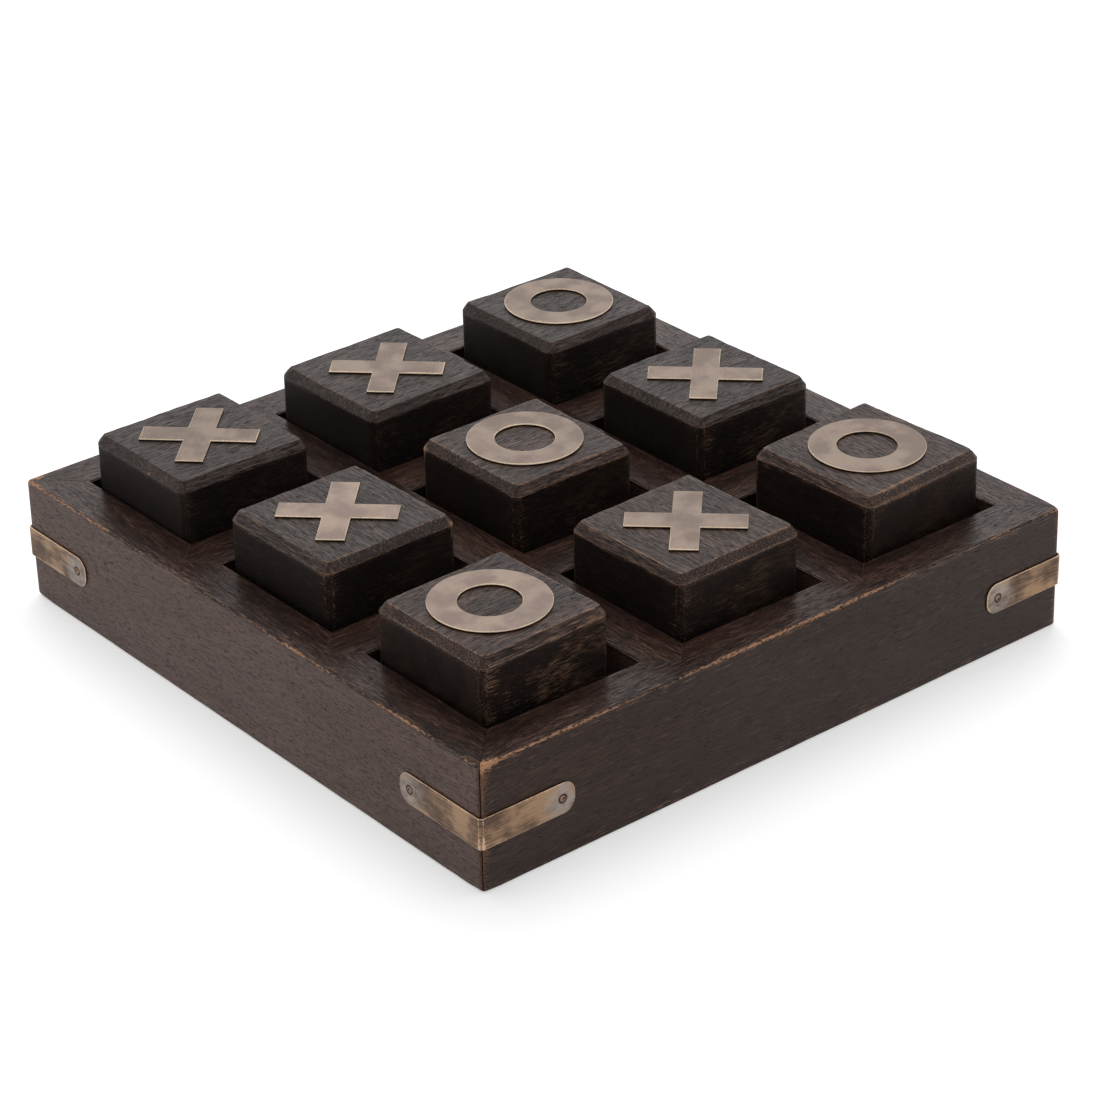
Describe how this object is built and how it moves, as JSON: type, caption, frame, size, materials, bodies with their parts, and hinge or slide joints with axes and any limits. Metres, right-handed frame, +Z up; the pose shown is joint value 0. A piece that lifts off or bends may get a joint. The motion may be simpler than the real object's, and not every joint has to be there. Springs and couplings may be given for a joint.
{
  "type": "tic-tac-toe game",
  "caption": "Square mitred hardwood tray with a grid of pockets that hold loose bevelled blocks carrying brass X and O marks, with a brass strap pinned round each corner.",
  "frame": {"origin": "middle of the tray's underside", "axes": "+X along the front rail to the right, +Y to the back, +Z up out of the pockets"},
  "size_m": [0.3076, 0.3076, 0.08],
  "materials": {
    "frame_wood": "dark stained open-pored hardwood, waxed, rubbed back to tan along the edges",
    "block_wood": "near-black stained hardwood, waxed, worn brown along the bevels",
    "panel_wood": "black stained panel, flat",
    "mark_brass": "antiqued sheet brass, dull brushed",
    "strap_brass": "antiqued strip brass, mottled, brighter at its edges",
    "pin_brass": "darkened brass nail heads"
  },
  "bodies": {
    "tray": {"rail_front": "frame_wood", "rail_right": "frame_wood", "rail_back": "frame_wood", "rail_left": "frame_wood", "divider_front": "frame_wood", "divider_back": "frame_wood", "divider_left": "frame_wood", "divider_right": "frame_wood", "floor_panel": "panel_wood", "base_panel": "panel_wood", "strap_front_left": "strap_brass", "strap_front_right": "strap_brass", "strap_back_right": "strap_brass", "strap_back_left": "strap_brass", "strap_pins": "pin_brass"},
    "piece_a1": {"block_a1": "block_wood", "o_mark_a1": "mark_brass"},
    "piece_b1": {"block_b1": "block_wood", "x_mark_b1": "mark_brass"},
    "piece_c1": {"block_c1": "block_wood", "o_mark_c1": "mark_brass"},
    "piece_a2": {"block_a2": "block_wood", "x_mark_a2": "mark_brass"},
    "piece_b2": {"block_b2": "block_wood", "o_mark_b2": "mark_brass"},
    "piece_c2": {"block_c2": "block_wood", "x_mark_c2": "mark_brass"},
    "piece_a3": {"block_a3": "block_wood", "x_mark_a3": "mark_brass"},
    "piece_b3": {"block_b3": "block_wood", "x_mark_b3": "mark_brass"},
    "piece_c3": {"block_c3": "block_wood", "o_mark_c3": "mark_brass"}
  },
  "joints": [
    {"name": "lift_a1", "type": "slide", "parent": "tray", "child": "piece_a1", "axis": [0, 0, 1], "range_m": [0, 0.03]},
    {"name": "lift_b1", "type": "slide", "parent": "tray", "child": "piece_b1", "axis": [0, 0, 1], "range_m": [0, 0.03]},
    {"name": "lift_c1", "type": "slide", "parent": "tray", "child": "piece_c1", "axis": [0, 0, 1], "range_m": [0, 0.03]},
    {"name": "lift_a2", "type": "slide", "parent": "tray", "child": "piece_a2", "axis": [0, 0, 1], "range_m": [0, 0.03]},
    {"name": "lift_b2", "type": "slide", "parent": "tray", "child": "piece_b2", "axis": [0, 0, 1], "range_m": [0, 0.03]},
    {"name": "lift_c2", "type": "slide", "parent": "tray", "child": "piece_c2", "axis": [0, 0, 1], "range_m": [0, 0.03]},
    {"name": "lift_a3", "type": "slide", "parent": "tray", "child": "piece_a3", "axis": [0, 0, 1], "range_m": [0, 0.03]},
    {"name": "lift_b3", "type": "slide", "parent": "tray", "child": "piece_b3", "axis": [0, 0, 1], "range_m": [0, 0.03]},
    {"name": "lift_c3", "type": "slide", "parent": "tray", "child": "piece_c3", "axis": [0, 0, 1], "range_m": [0, 0.03]}
  ]
}
